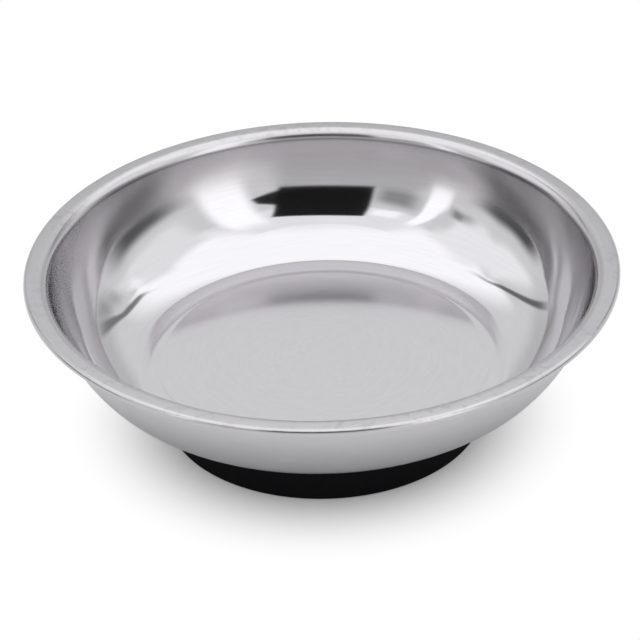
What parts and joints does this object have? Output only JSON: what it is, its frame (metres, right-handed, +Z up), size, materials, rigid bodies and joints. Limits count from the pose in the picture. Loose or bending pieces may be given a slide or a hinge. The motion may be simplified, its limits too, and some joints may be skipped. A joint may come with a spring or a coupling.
{
  "type": "magnetic parts tray",
  "caption": "Round shallow stainless dish with a turned-down lip and a low bead round its floor, on a rubber-booted ring magnet, for holding small steel parts during repairs.",
  "frame": {"origin": "centre of the rubber boot's underside, on the surface the tray stands on", "axes": "+Z up along the axis of the dish; the tray is round, so +X and +Y are free choices square to it"},
  "size_m": [0.15, 0.15, 0.0437],
  "materials": {
    "stainless_dish": "satin lip and floor, polished lower wall",
    "zinc_steel": "bright zinc plate",
    "ferrite": "matte ceramic",
    "black_rubber": "matte moulded rubber"
  },
  "bodies": {
    "root": {"bowl": "stainless_dish", "weld_stud": "zinc_steel", "magnet_case": "zinc_steel", "ring_magnet": "ferrite", "flat_washer": "zinc_steel", "spring_washer": "zinc_steel", "hex_nut": "zinc_steel", "rubber_boot": "black_rubber"}
  },
  "joints": []
}
